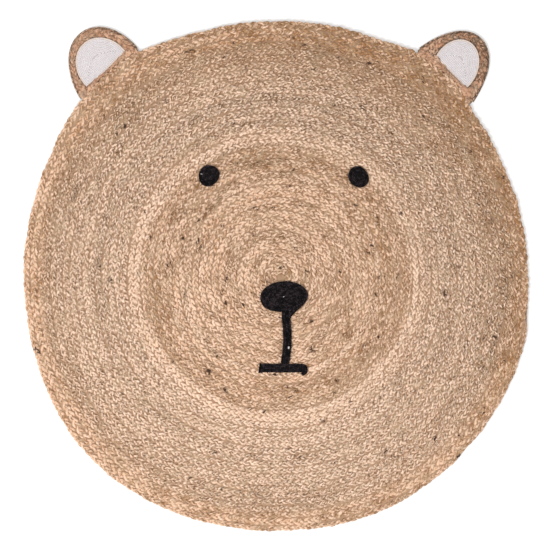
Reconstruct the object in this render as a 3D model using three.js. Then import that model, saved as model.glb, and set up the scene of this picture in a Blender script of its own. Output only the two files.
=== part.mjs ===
// A round rug of coiled jute braid with an animal's face: two braided ears, two eyes, a nose and a mouth.
// Millimetres, +Z up. The rug lies flat on z = 0, its middle at the origin, its ears towards +Y.

import * as THREE from 'three';
import { mergeVertices } from 'three/addons/utils/BufferGeometryUtils.js';

// Driving dimensions

const GAP = 0.3; // between pieces that touch

// The coil: one flat braid wound counter-clockwise, its last two turns of a wider braid
const COIL = {
  turns: 39,
  innerEdgeOfEnd: 496, // radius at which the last turn stops
  fieldTurns: 37.5, // turns wound before the braid widens
  borderSwell: 0.27, // share by which the border braid is wider
  startWidth: 16, // width of the last turn where it begins
  endWidth: 9, // and where it is tucked in
  endAngle: 353, // direction of the tucked end, in degrees
  tuckAngle: 8, // angle over which the end thins to nothing
  startOffset: [7.8, 1.6], // how far the coil's first turn lies from the rug's middle
};

// Heights of the braid over the floor
const BRAID = { crest: 8, valley: 5.6, shoulder: 6.2, side: 3.6, borderRise: 0.8 };
const EDGE_ROUNDING = 1.8; // how far the outer edge draws in at the floor

// Steps in a turn of the coil, up to a number of turns
const COIL_STEPS = [
  { untilTurn: 4, steps: 15 },
  { untilTurn: 12, steps: 30 },
  { untilTurn: 38, steps: 60 },
  { untilTurn: 39, steps: 120 },
];

// How the outline departs from a true round: waves about the middle, in millimetres at the edge
const OUTLINE_WAVES = [
  { count: 1, cosine: 0.8, sine: 3.4 },
  { count: 2, cosine: -2.4, sine: 1.9 },
  { count: 3, cosine: 0.9, sine: -1.2 },
  { count: 4, cosine: -3.2, sine: -0.7 },
  { count: 5, cosine: 0.7, sine: -0.2 },
  { count: 6, cosine: 0.8, sine: -0.9 },
];

// Each ear is laid out along its own direction from the rug's middle: "reach" is measured outwards along it
// and "across" clockwise from it. The arch of the rim and the patch are leaning half ellipses. The round
// bulges out to meet the ear.
const EARS = [
  {
    side: 'left',
    direction: 129.2,
    bulges: [
      { direction: 122.8, height: 13.5, spread: 4.9 },
      { direction: 134, height: 13.2, spread: 5.5 },
      { direction: 145, height: 5.6, spread: 7 },
    ],
    arch: { reach: 511, across: -2, halfWidth: 73.5, height: 101, lean: 10 },
    patch: { reach: 531.5, across: -0.5, halfWidth: 52, height: 61.2, lean: -1 },
    base: { reachAtMiddle: 523.5, slope: 0.09 },
  },
  {
    side: 'right',
    direction: 50.4,
    bulges: [
      { direction: 47, height: 11.3, spread: 3.6 },
      { direction: 57.2, height: 14, spread: 4.8 },
    ],
    arch: { reach: 500, across: 3.5, halfWidth: 73.5, height: 117, lean: 4 },
    patch: { reach: 541.5, across: 8.7, halfWidth: 43.8, height: 56, lean: -13 },
    base: { reachAtMiddle: 527.4, slope: -0.12 },
  },
];
const EAR_STEPS = { arch: 44, base: 16 };
const PATCH_HEIGHT = 5;

// Black appliqued pieces lie on the braid's crests
const APPLIQUE = { base: BRAID.crest + GAP, height: 2.2, edge: 0.6 };
const EYES = [
  {
    side: 'left',
    centre: [-130.8, 198],
    radius: 20.6,
    waves: [{ count: 2, cosine: -0.1, sine: 0.8 }, { count: 3, cosine: 0.5, sine: 0.3 }],
  },
  {
    side: 'right',
    centre: [161.4, 195.4],
    radius: 20.3,
    waves: [{ count: 2, cosine: -0.3, sine: -1.5 }, { count: 3, cosine: 0.1, sine: -0.3 }],
  },
];
const EYE_STEPS = 36;
const NOSE = { centre: [15.9, -38.3], halfWidth: 46.7, halfHeight: 30, tilt: 3.8 };
const NOSE_BULGE = { direction: 222, size: 0.045, spread: 15 }; // its size is a share of the radius
const STEM = { width: 17.1, top: [19.6, -80], middle: [22.3, -115], foot: [17.5, -169.3] };
const MOUTH = { left: -31.9, top: -169.7, bottom: -186.3, flare: 2 };
const HOOK = { left: 50, width: 11.6, foot: -193.2, footX: 3.6, slope: 0.9, lowerWidth: 10.2 };

const COLOURS = { jute: 0xc6a385, rim: 0xa5805f, cotton: 0xddd3d1, black: 0x231d1e };

// Small helpers

const radians = THREE.MathUtils.degToRad;
const polar = (radius, angle) => [radius * Math.cos(angle), radius * Math.sin(angle)];

function angleBetween(angle, other) {
  const turn = 2 * Math.PI;
  return ((angle - other + 3 * Math.PI) % turn + turn) % turn - Math.PI;
}

// A mesh from shared points and triangles of their indices
function solid(name, points, triangles, material) {
  const geometry = new THREE.BufferGeometry();
  geometry.setAttribute('position', new THREE.Float32BufferAttribute(points.flat(), 3));
  geometry.setIndex(triangles.flat());
  geometry.computeVertexNormals();
  return named(name, geometry, material);
}

function named(name, geometry, material) {
  const mesh = new THREE.Mesh(geometry, material);
  mesh.name = name;
  return mesh;
}

function cloth(colour) {
  return new THREE.MeshStandardMaterial({ color: colour, roughness: 0.95, metalness: 0 });
}

// Triangles between two closed rings with as many points each; the lower one is listed first
function joinRings(lower, upper) {
  const triangles = [];
  for (let i = 0; i < lower.length; i += 1) {
    const next = (i + 1) % lower.length;
    triangles.push([lower[i], lower[next], upper[next]], [lower[i], upper[next], upper[i]]);
  }
  return triangles;
}

// The coil's shape

// Nominal radius of the inner edge after a number of turns
function coilRadius(turns) {
  const swollen = (count) => {
    const past = Math.max(count - COIL.fieldTurns, 0);
    return count + COIL.borderSwell * (past < 1 ? past * past / 2 : past - 0.5);
  };
  return COIL.innerEdgeOfEnd * swollen(turns) / swollen(COIL.turns);
}

// Nominal width of the braid at a place along the coil
function braidWidth(turns) {
  const lastTurn = turns - (COIL.turns - 1);
  if (lastTurn < 0) return coilRadius(turns + 1) - coilRadius(turns);
  const width = THREE.MathUtils.lerp(COIL.startWidth, COIL.endWidth, lastTurn);
  return width * (1 - THREE.MathUtils.smoothstep(lastTurn, 1 - COIL.tuckAngle / 360, 1));
}

// The rug's place of a nominal radius in a direction, with the uneven outline and the coil's own middle
function placeInRug(radius, angle) {
  const share = radius / COIL.innerEdgeOfEnd;
  let edge = 0;
  for (const wave of OUTLINE_WAVES) {
    edge += wave.cosine * Math.cos(wave.count * angle) + wave.sine * Math.sin(wave.count * angle);
  }
  let bulge = 0;
  for (const { direction, height, spread } of EARS.flatMap((ear) => ear.bulges)) {
    const off = angleBetween(angle, radians(direction)) / radians(spread);
    bulge += height * Math.exp(-off * off / 2);
  }
  const [x, y] = polar(radius + edge * share ** 2 + bulge * share ** 8, angle);
  const inward = 1 - Math.min(share, 1);
  return [x + COIL.startOffset[0] * inward, y + COIL.startOffset[1] * inward];
}

const coilAngle = (turns) => radians(COIL.endAngle) + 2 * Math.PI * turns;

// The outline's point in a direction, drawn out by a margin
function outlinePoint(angle, margin) {
  const turn = ((angle - radians(COIL.endAngle)) / (2 * Math.PI) % 1 + 1) % 1;
  const turns = COIL.turns - 1 + turn;
  return placeInRug(coilRadius(turns) + braidWidth(turns) + margin, angle);
}

// Places along the coil where the mesh has points, in turns
function coilPlaces(from, to) {
  const places = [];
  let start = 0;
  for (const { untilTurn, steps } of COIL_STEPS) {
    for (let step = start * steps; step < untilTurn * steps; step += 1) places.push(step / steps);
    start = untilTurn;
  }
  places.push(start);
  return places.filter((place) => place >= from && place <= to);
}

// Triangles between two lines of points that run side by side, the inner one given first
function joinLines(inner, outer) {
  const triangles = [];
  let i = 0;
  let j = 0;
  while (i < inner.length - 1 || j < outer.length - 1) {
    const stepInner = i < inner.length - 1 ? inner[i + 1].turns : Infinity;
    const stepOuter = j < outer.length - 1 ? outer[j + 1].turns : Infinity;
    if (stepOuter <= stepInner) {
      triangles.push([inner[i].index, outer[j].index, outer[j + 1].index]);
      j += 1;
    } else {
      triangles.push([inner[i].index, outer[j].index, inner[i + 1].index]);
      i += 1;
    }
  }
  return triangles;
}

// The round: a flat underside and a top ribbed by the coil's turns
function makeRound() {
  const points = [];
  const triangles = [];
  const add = ([x, y], height) => points.push([x, y, height]) - 1;
  const end = COIL.turns;
  const widening = [COIL.fieldTurns - 0.5, COIL.fieldTurns + 0.5];
  const rise = (turns) => BRAID.borderRise * THREE.MathUtils.smoothstep(turns, ...widening);

  const valleys = coilPlaces(0, end).map((turns) => ({
    turns,
    index: add(placeInRug(coilRadius(turns), coilAngle(turns)), BRAID.valley),
  }));
  const crests = coilPlaces(0, end).slice(1, -1).map((turns) => ({
    turns,
    index: add(
      placeInRug(coilRadius(turns) + braidWidth(turns) / 2, coilAngle(turns)),
      BRAID.crest + rise(turns),
    ),
  }));

  // The last turn's outer edge starts and ends at the last valley point
  const lastValley = valleys[valleys.length - 1];
  const edge = coilPlaces(end - 1, end).slice(1, -1).map((turns) => ({
    turns,
    angle: coilAngle(turns),
    index: add(outlinePoint(coilAngle(turns), -EDGE_ROUNDING / 2), BRAID.shoulder),
  }));
  points[lastValley.index] = [...outlinePoint(coilAngle(end), -EDGE_ROUNDING / 2), BRAID.shoulder];

  const outerEdges = valleys
    .filter(({ turns }) => turns >= 1)
    .map(({ turns, index }) => ({ turns: turns - 1, index }));
  outerEdges.push(...edge, { turns: end, index: lastValley.index });

  triangles.push(...joinLines(valleys, crests), ...joinLines(crests, outerEdges));

  // The middle: the first turn's inside, and the start of the braid
  const centre = valleys[0].index;
  const firstTurn = valleys.filter(({ turns }) => turns <= 1);
  for (let i = 1; i < firstTurn.length - 1; i += 1) {
    triangles.push([centre, firstTurn[i].index, firstTurn[i + 1].index]);
  }
  triangles.push([centre, outerEdges[0].index, crests[0].index]);

  // The rounded side and the flat underside
  const rim = [{ angle: coilAngle(end), index: lastValley.index }, ...edge];
  const ringAt = (margin, height) => rim.map(({ angle }) => add(outlinePoint(angle, margin), height));
  const side = ringAt(0, BRAID.side);
  const foot = ringAt(-EDGE_ROUNDING, 0);
  triangles.push(...joinRings(side, rim.map(({ index }) => index)), ...joinRings(foot, side));
  const under = add([0, 0], 0);
  for (let i = 0; i < foot.length; i += 1) {
    triangles.push([under, foot[(i + 1) % foot.length], foot[i]]);
  }
  return solid('round', points, triangles, cloth(COLOURS.jute));
}

// The ears' shapes

// From an ear's own reach and across to the rug's x and y
function placeByEar(ear, [reach, across]) {
  const out = radians(ear.direction);
  return [
    reach * Math.cos(out) + across * Math.sin(out),
    reach * Math.sin(out) - across * Math.cos(out),
  ];
}

// A leaning half ellipse's point, from one foot at -90 degrees over the top at 0 to the other at 90
function archPoint({ reach, across, halfWidth, height, lean }, angle) {
  const side = halfWidth * Math.sin(angle);
  const up = height * Math.cos(angle);
  const tilt = radians(lean);
  return [
    reach + up * Math.cos(tilt) - side * Math.sin(tilt),
    across + side * Math.cos(tilt) + up * Math.sin(tilt),
  ];
}

// The angle at which a curve's point stops being outside, between one outside and one inside
function crossing(outside, inside, isOutside) {
  let [low, high] = [outside, inside];
  for (let round = 0; round < 40; round += 1) {
    const middle = (low + high) / 2;
    if (isOutside(middle)) low = middle;
    else high = middle;
  }
  return low;
}

// The part of an arch for which a test holds, as evenly spaced points from foot to foot
function archLine(arch, isOutside) {
  const belowBase = 0.8 * Math.PI;
  const from = crossing(0, -belowBase, isOutside);
  const to = crossing(0, belowBase, isOutside);
  const points = [];
  for (let step = 0; step <= EAR_STEPS.arch; step += 1) {
    points.push(archPoint(arch, THREE.MathUtils.lerp(from, to, step / EAR_STEPS.arch)));
  }
  return points;
}

// The rim's outer line: over the arch, then back along the edge of the round
function rimOuterLine(ear) {
  const clear = 2 * GAP;
  const beyondRound = (angle) => {
    const [x, y] = placeByEar(ear, archPoint(ear.arch, angle));
    const [edgeX, edgeY] = outlinePoint(Math.atan2(y, x), clear);
    return Math.hypot(x, y) > Math.hypot(edgeX, edgeY);
  };
  const line = archLine(ear.arch, beyondRound).map((point) => placeByEar(ear, point));
  const [startX, startY] = line[line.length - 1];
  const [endX, endY] = line[0];
  const start = Math.atan2(startY, startX);
  const sweep = angleBetween(Math.atan2(endY, endX), start);
  for (let step = 1; step < EAR_STEPS.base; step += 1) {
    line.push(outlinePoint(start + sweep * step / EAR_STEPS.base, clear));
  }
  return line;
}

// The patch's outline: its own arch, then straight back along its base
function patchLine(ear, margin) {
  const { reachAtMiddle, slope } = ear.base;
  const arch = { ...ear.patch, halfWidth: ear.patch.halfWidth + margin, height: ear.patch.height + margin };
  const beyondBase = (angle) => {
    const [reach, across] = archPoint(arch, angle);
    return reach > reachAtMiddle - margin + slope * across;
  };
  const line = archLine(arch, beyondBase).map((point) => placeByEar(ear, point));
  const start = new THREE.Vector2(...line[line.length - 1]);
  const end = new THREE.Vector2(...line[0]);
  for (let step = 1; step < EAR_STEPS.base; step += 1) {
    line.push(start.clone().lerp(end, step / EAR_STEPS.base).toArray());
  }
  return line;
}

// A ring swept round an ear: its section runs from the outer line to the inner one
const RIM_SECTION = [
  { across: 0.08, height: 0 },
  { across: 0, height: BRAID.side },
  { across: 0.1, height: BRAID.shoulder },
  { across: 0.32, height: BRAID.crest },
  { across: 0.68, height: BRAID.crest },
  { across: 0.92, height: BRAID.shoulder },
  { across: 1, height: BRAID.side },
  { across: 0.94, height: 0 },
];

function makeRim(ear) {
  const outer = rimOuterLine(ear);
  const inner = patchLine(ear, GAP);
  const points = [];
  for (const { across, height } of RIM_SECTION) {
    outer.forEach(([x, y], i) => {
      const [innerX, innerY] = inner[i];
      points.push([x + (innerX - x) * across, y + (innerY - y) * across, height]);
    });
  }
  const ring = (row) => outer.map((_, i) => (row % RIM_SECTION.length) * outer.length + i);
  const triangles = RIM_SECTION.flatMap((_, row) => joinRings(ring(row + 1), ring(row)));
  return solid(`ear_rim_${ear.side}`, points, triangles, cloth(COLOURS.rim));
}

// A flat-bottomed pad on an outline, its edge rounded and its middle slightly raised
const PAD_SECTION = [
  { scale: 0.97, height: 0 },
  { scale: 1, height: 0.42 },
  { scale: 0.965, height: 0.82 },
  { scale: 0.6, height: 0.96 },
];

function makePad(name, outline, base, height, material) {
  const middleX = outline.reduce((sum, [x]) => sum + x, 0) / outline.length;
  const middleY = outline.reduce((sum, [, y]) => sum + y, 0) / outline.length;
  const rings = PAD_SECTION.map(({ scale, height: share }) => outline.map(([x, y]) => [
    middleX + (x - middleX) * scale,
    middleY + (y - middleY) * scale,
    base + height * share,
  ]));
  const points = [...rings.flat(), [middleX, middleY, base], [middleX, middleY, base + height]];
  const ring = (row) => outline.map((_, i) => row * outline.length + i);
  const triangles = [];
  for (let row = 1; row < PAD_SECTION.length; row += 1) {
    triangles.push(...joinRings(ring(row - 1), ring(row)));
  }
  const under = points.length - 2;
  const over = points.length - 1;
  const foot = ring(0);
  const top = ring(PAD_SECTION.length - 1);
  for (let i = 0; i < outline.length; i += 1) {
    const next = (i + 1) % outline.length;
    triangles.push([foot[next], foot[i], under], [top[i], top[next], over]);
  }
  return solid(name, points, triangles, material);
}

function makePatch(ear) {
  const outline = patchLine(ear, 0).reverse();
  return makePad(`ear_patch_${ear.side}`, outline, 0, PATCH_HEIGHT, cloth(COLOURS.cotton));
}

// The face

function makeEye(eye) {
  const outline = [];
  for (let step = 0; step < EYE_STEPS; step += 1) {
    const angle = 2 * Math.PI * step / EYE_STEPS;
    let radius = eye.radius;
    for (const wave of eye.waves) {
      radius += wave.cosine * Math.cos(wave.count * angle) + wave.sine * Math.sin(wave.count * angle);
    }
    const [x, y] = polar(radius, angle);
    outline.push([eye.centre[0] + x, eye.centre[1] + y]);
  }
  return makePad(`eye_${eye.side}`, outline, APPLIQUE.base, APPLIQUE.height, cloth(COLOURS.black));
}

// A flat piece cut to a shape, with rounded edges, lying on the braid
function makeApplique(name, shape) {
  const geometry = new THREE.ExtrudeGeometry(shape, {
    depth: APPLIQUE.height - 2 * APPLIQUE.edge,
    bevelThickness: APPLIQUE.edge,
    bevelSize: APPLIQUE.edge,
    bevelOffset: -APPLIQUE.edge,
    bevelSegments: 2,
    curveSegments: 10,
  });
  geometry.deleteAttribute('normal');
  geometry.deleteAttribute('uv');
  geometry.translate(0, 0, APPLIQUE.base + APPLIQUE.edge);
  return named(name, mergeVertices(geometry), cloth(COLOURS.black));
}

// A point of the nose's oval, which is a little fuller at its lower left
function nosePoint(degrees) {
  const off = angleBetween(radians(degrees), radians(NOSE_BULGE.direction)) / radians(NOSE_BULGE.spread);
  const full = 1 + NOSE_BULGE.size * Math.exp(-off * off / 2);
  const along = full * NOSE.halfWidth * Math.cos(radians(degrees));
  const up = full * NOSE.halfHeight * Math.sin(radians(degrees));
  const tilt = radians(NOSE.tilt);
  return [
    NOSE.centre[0] + along * Math.cos(tilt) - up * Math.sin(tilt),
    NOSE.centre[1] + along * Math.sin(tilt) + up * Math.cos(tilt),
  ];
}

// The stem's middle at a height: the parabola through its top, middle and foot
function stemMiddle(y) {
  const [[x0, y0], [x1, y1], [x2, y2]] = [STEM.top, STEM.middle, STEM.foot];
  return x0 * (y - y1) * (y - y2) / ((y0 - y1) * (y0 - y2))
    + x1 * (y - y0) * (y - y2) / ((y1 - y0) * (y1 - y2))
    + x2 * (y - y0) * (y - y1) / ((y2 - y0) * (y2 - y1));
}

// The nose is an oval whose outer row runs on, at its lower right, into the stem
function makeNose() {
  const leavesOval = -36; // degrees at which the outer row turns down to the stem
  const meetsStem = 262; // degrees at which the stem's left side meets the oval
  const half = STEM.width / 2;
  const foot = MOUTH.top + GAP;
  const top = STEM.top[1];
  const steps = 8;
  const [turnX, turnY] = nosePoint(leavesOval);
  const [neckX, neckY] = [stemMiddle(top) + half, top];

  const shape = new THREE.Shape();
  shape.moveTo(turnX, turnY);
  for (let degrees = leavesOval + 9; degrees < meetsStem; degrees += 9) shape.lineTo(...nosePoint(degrees));
  shape.lineTo(...nosePoint(meetsStem));
  for (let step = 0; step <= steps; step += 1) {
    const y = top + (foot - top) * step / steps;
    shape.lineTo(stemMiddle(y) - half, y);
  }
  for (let step = steps; step >= 0; step -= 1) {
    const y = top + (foot - top) * step / steps;
    shape.lineTo(stemMiddle(y) + half, y);
  }
  shape.bezierCurveTo(neckX + 3.5, neckY + 6.5, turnX - 10, turnY - 9, turnX, turnY);
  return makeApplique('nose', shape);
}

// The mouth is a bar with a flared left end, and a right end that hooks down
function makeMouth() {
  const { left, top, bottom, flare } = MOUTH;
  const height = top - bottom;
  const tip = HOOK.left + HOOK.footX;
  const side = HOOK.left + HOOK.width;
  const shape = new THREE.Shape();
  shape.moveTo(left + 4, top);
  shape.lineTo(left, top + flare);
  shape.lineTo(left, (top + bottom) / 2);
  shape.lineTo(left - 2.5, bottom + 3);
  shape.lineTo(left + 3, bottom - flare);
  shape.lineTo(left + 9, bottom);
  shape.lineTo(HOOK.left, bottom);
  shape.lineTo(HOOK.left, HOOK.foot + HOOK.slope * HOOK.footX);
  shape.lineTo(tip, HOOK.foot);
  shape.lineTo(HOOK.left + HOOK.lowerWidth, HOOK.foot + HOOK.slope * (HOOK.lowerWidth - HOOK.footX));
  shape.lineTo(side, bottom + 4);
  for (let step = 1; step <= 8; step += 1) {
    const angle = Math.PI / 2 * step / 8;
    const x = HOOK.left + HOOK.width * Math.cos(angle) ** 0.75;
    shape.lineTo(x, bottom + 4 + (height - 4) * Math.sin(angle) ** 0.75);
  }
  return makeApplique('mouth', shape);
}

// The whole rug

const rug = new THREE.Group();
rug.add(makeRound());
for (const ear of EARS) rug.add(makeRim(ear), makePatch(ear));
for (const eye of EYES) rug.add(makeEye(eye));
rug.add(makeNose(), makeMouth());

export default rug;
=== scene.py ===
"""A round rug of coiled jute braid with an animal's face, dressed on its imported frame.

Metres, +Z up. The rug lies flat on z = 0, its middle at the origin and its ears towards +Y. The round is
one long three-strand braid, coiled and sewn turn to turn. The ears have a braided rim and a white cotton
patch, and the eyes, the nose with its stem and the mouth are sewn on in rows of black cotton.
"""

from __future__ import annotations

import logging
import math
from collections.abc import Callable, Sequence
from dataclasses import dataclass, field, replace
from enum import Enum

import bpy
import numpy as np
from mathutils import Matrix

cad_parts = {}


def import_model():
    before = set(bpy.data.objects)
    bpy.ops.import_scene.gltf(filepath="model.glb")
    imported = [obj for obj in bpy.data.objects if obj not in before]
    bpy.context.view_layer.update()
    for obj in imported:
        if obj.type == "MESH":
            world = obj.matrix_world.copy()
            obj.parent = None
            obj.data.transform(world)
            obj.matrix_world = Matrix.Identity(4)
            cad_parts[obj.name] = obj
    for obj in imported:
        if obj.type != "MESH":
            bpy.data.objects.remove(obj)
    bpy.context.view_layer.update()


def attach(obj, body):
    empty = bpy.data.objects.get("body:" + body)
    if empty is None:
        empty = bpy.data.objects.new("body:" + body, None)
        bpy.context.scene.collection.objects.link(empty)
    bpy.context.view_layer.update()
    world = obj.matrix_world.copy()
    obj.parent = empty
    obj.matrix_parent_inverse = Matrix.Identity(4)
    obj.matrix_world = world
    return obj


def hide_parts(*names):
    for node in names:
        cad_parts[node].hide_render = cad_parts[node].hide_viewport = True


LOG = logging.getLogger("rug")
Array = np.ndarray
Random = np.random.Generator
Place = tuple[float, float]
Triple = tuple[float, float, float]
Piece = bpy.types.Object
Socket = bpy.types.NodeSocket
Feed = Socket | float | Triple
Feeds = dict[str | int, Feed]
TURN = 2 * math.pi
LOBE_START = 0.25  # a strand's first crossing, counted in lobes
# Painted shade down the strands' sides darkens their tone by this share of it on average; the dyes add it
# back
SEEN_SHADE = 0.25  # the share of a strand's side shade that shows from above, on average
LEAST_STEPS = 3
SMOOTH_ANGLE = math.radians(40)
UP = np.array((0.0, 0.0, 1.0))


class Slot(Enum):
    """Material slots that the finishes carry."""

    JUTE = "jute_braid"
    RIM = "ear_braid"
    WHITE = "white_cotton"
    BLACK = "black_cotton"


# Helpers for lines and numbers


def polar(radius: Array | float, angle: Array | float) -> Array:
    """Returns the flat place at a radius in a direction."""
    return np.stack((radius * np.cos(angle), radius * np.sin(angle)), axis=-1)


def smoothstep(value: Array | float, low: float, high: float) -> Array:
    """Returns 0 below low and 1 above high, with a smooth rise between."""
    share = np.clip((np.asarray(value) - low) / (high - low), 0, 1)
    return share * share * (3 - 2 * share)


def angle_between(angle: Array | float, other: float) -> Array:
    """Returns the signed angle from one direction to another, within half a turn."""
    return (np.asarray(angle) - other + math.pi) % TURN - math.pi


def lengths_along(line: Array) -> Array:
    """Returns the distance from a line's start to each of its points."""
    steps = np.linalg.norm(np.diff(line, axis=0), axis=1)
    return np.concatenate(((0.0,), np.cumsum(steps)))


def evenly_spaced(line: Array, step: float) -> Array:
    """Returns the same line with points about one step apart.

    Args:
        line: its points, two or three coordinates each.
        step: the distance wanted between points.

    Returns:
        The new points, the first and last as before.
    """
    along = lengths_along(line)
    count = max(int(round(along[-1] / step)), LEAST_STEPS)
    places = np.linspace(0, along[-1], count + 1)
    return np.stack([np.interp(places, along, column) for column in line.T], axis=-1)


def uneven(rng: Random, places: Array, spacing: float, spread: float) -> Array:
    """Returns a smooth handmade unevenness along a strand.

    Args:
        rng: the source of random numbers.
        places: where the values are wanted, in any unit.
        spacing: distance between independent values, in the same unit.
        spread: the largest value.

    Returns:
        A value between -spread and spread for each place.
    """
    knots = np.arange(places.min() - spacing, places.max() + 2 * spacing, spacing)
    return np.interp(places, knots, rng.uniform(-spread, spread, len(knots)))


# Strands and the meshes swept along them


def section_angles(sides: int) -> Array:
    """Returns the angles round a strand's section, from its lowest point."""
    return TURN * np.arange(sides) / sides - math.pi / 2


@dataclass
class Strand:
    """One strand: its centre line, its section along it, and its dye.

    The dye has three columns: tone (0 dark to 1 light), warmth (0 grey to 1 orange) and fleck (0 or 1).
    The shade is painted shade: how much darker the tone is painted down a strand's sides and underside, where
    neighbouring strands would shade it.
    """

    points: Array
    half_width: Array
    half_thickness: Array
    dye: Array
    closed: bool = False
    shade: float = 0.0

    def cut(self, first: int, last: int) -> Strand:
        """Returns the stretch of the strand between two of its points."""
        return Strand(
            self.points[first:last],
            self.half_width[first:last],
            self.half_thickness[first:last],
            self.dye[first:last],
            shade=self.shade,
        )

    def dyes(self, sides: int) -> Array:
        """Returns the dye of each point of the sections."""
        dyes = np.repeat(self.dye[:, None, :], sides, axis=1)
        # Painted shade: the tone darkens from the top of the section down its sides to its underside.
        dyes[:, :, 0] -= self.shade * (1 - np.sin(section_angles(sides))) / 2
        return dyes.reshape(-1, 3)

    def rings(self, sides: int) -> Array:
        """Returns the section's points round each point of the centre line."""
        if self.closed:
            tangent = np.roll(self.points, -1, axis=0) - np.roll(self.points, 1, axis=0)
        else:
            tangent = np.gradient(self.points, axis=0)
        tangent /= np.linalg.norm(tangent, axis=1, keepdims=True)
        across = np.cross(UP, tangent)
        across /= np.linalg.norm(across, axis=1, keepdims=True)
        over = np.cross(tangent, across)
        angle = section_angles(sides)
        wide = np.cos(angle)[None, :, None] * self.half_width[:, None, None] * across[:, None, :]
        high = np.sin(angle)[None, :, None] * self.half_thickness[:, None, None] * over[:, None, :]
        return self.points[:, None, :] + wide + high


def sweep(name: str, strands: Sequence[Strand], sides: int) -> Piece:
    """Makes one mesh of closed tubes, one for each strand.

    Args:
        name: the new object's name.
        strands: the strands.
        sides: how many sides each tube has.

    Returns:
        The object, with a UV map in metres along and around the strands, and the attribute dye.
    """
    points: list[Array] = []
    dyes: list[Array] = []
    faces: list[list[int]] = []
    uvs: list[Array] = []
    start = 0
    for strand in strands:
        rings = strand.rings(sides)
        count = len(rings)
        points.append(rings.reshape(-1, 3))
        dyes.append(strand.dyes(sides))
        line = np.vstack((strand.points, strand.points[:1])) if strand.closed else strand.points
        along = lengths_along(line)
        girth = TURN * float(np.mean(strand.half_width + strand.half_thickness)) / 2
        ring, side = np.meshgrid(np.arange(len(line) - 1), np.arange(sides), indexing="ij")
        corner_ring = np.stack((ring, ring, ring + 1, ring + 1), axis=-1).reshape(-1, 4)
        corner_side = np.stack((side, side + 1, side + 1, side), axis=-1).reshape(-1, 4)
        faces += (start + (corner_ring % count) * sides + corner_side % sides).tolist()
        uvs.append(np.stack((along[corner_ring], girth * corner_side / sides), axis=-1).reshape(-1, 2))
        if not strand.closed:
            first = [start + side for side in reversed(range(sides))]
            last = [start + (count - 1) * sides + side for side in range(sides)]
            faces += [first, last]
            uvs.append(np.zeros((2 * sides, 2)))
        start += count * sides
    mesh = bpy.data.meshes.new(name)
    mesh.from_pydata(np.vstack(points), [], faces)
    uv_map = mesh.uv_layers.new(name="strand")
    uv_map.data.foreach_set("uv", np.vstack(uvs).astype(np.float32).ravel())
    dye = mesh.attributes.new("dye", "FLOAT_COLOR", "POINT")
    colours = np.hstack((np.vstack(dyes), np.ones((start, 1)))).astype(np.float32)
    dye.data.foreach_set("color", colours.ravel())
    mesh.shade_smooth()
    piece = bpy.data.objects.new(name, mesh)
    bpy.context.collection.objects.link(piece)
    return piece


def plate(name: str, outline: Array, bottom: float, top: float, rounding: float) -> Piece:
    """Makes a flat piece of cloth with rounded edges.

    Args:
        name: the new object's name.
        outline: its outline's points, counter-clockwise.
        bottom: height of its underside.
        top: height of its upper side.
        rounding: radius of its edges.

    Returns:
        The object.
    """
    bpy.ops.object.select_all(action="DESELECT")
    bpy.ops.mesh.primitive_circle_add(vertices=len(outline), radius=1, fill_type="NGON")
    piece = bpy.context.object
    piece.name = name
    piece.data.name = name
    for vertex, (x, y) in zip(piece.data.vertices, outline):
        vertex.co = (x, y, top)
    bpy.ops.object.mode_set(mode="EDIT")
    bpy.ops.mesh.select_all(action="SELECT")
    bpy.ops.mesh.normals_make_consistent(inside=False)
    bpy.ops.object.mode_set(mode="OBJECT")
    if piece.data.polygons[0].normal.z < 0:
        piece.data.flip_normals()
    solidify = piece.modifiers.new("thickness", "SOLIDIFY")
    solidify.thickness = top - bottom
    solidify.offset = -1
    bevel = piece.modifiers.new("edges", "BEVEL")
    bevel.width = rounding
    bevel.segments = 2
    bevel.limit_method = "ANGLE"
    for modifier in list(piece.modifiers):
        bpy.ops.object.modifier_apply(modifier=modifier.name)
    bpy.ops.object.shade_smooth_by_angle(angle=SMOOTH_ANGLE)
    return piece


# Finishes


def add_node(tree: bpy.types.NodeTree, kind: str, inputs: Feeds, **settings: object) -> bpy.types.Node:
    """Adds a shader node.

    Args:
        tree: the node tree.
        kind: the node's type.
        inputs: for each input, by name or number, its value or the socket that feeds it.
        settings: the node's own settings.

    Returns:
        The node.
    """
    node = tree.nodes.new(kind)
    for name, setting in settings.items():
        setattr(node, name, setting)
    for name, value in inputs.items():
        if isinstance(value, bpy.types.NodeSocket):
            tree.links.new(value, node.inputs[name])
        else:
            node.inputs[name].default_value = value
    return node


def calculate(tree: bpy.types.NodeTree, operation: str, *values: Feed, clamp: bool = False) -> Socket:
    """Adds a Math node for an operation on values or sockets, and returns its result."""
    settings = {"operation": operation, "use_clamp": clamp}
    return add_node(tree, "ShaderNodeMath", dict(enumerate(values)), **settings).outputs[0]


def mix(tree: bpy.types.NodeTree, share: Socket, first: Feed, second: Triple) -> Socket:
    """Adds a Mix node that goes from one colour to another, and returns the mixed colour.

    The sockets go by number, because the node has a pair for each kind of data under the same names.
    """
    first = (*first, 1.0) if isinstance(first, tuple) else first
    inputs = {0: share, 6: first, 7: (*second, 1.0)}
    return add_node(tree, "ShaderNodeMix", inputs, data_type="RGBA").outputs[2]


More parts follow.
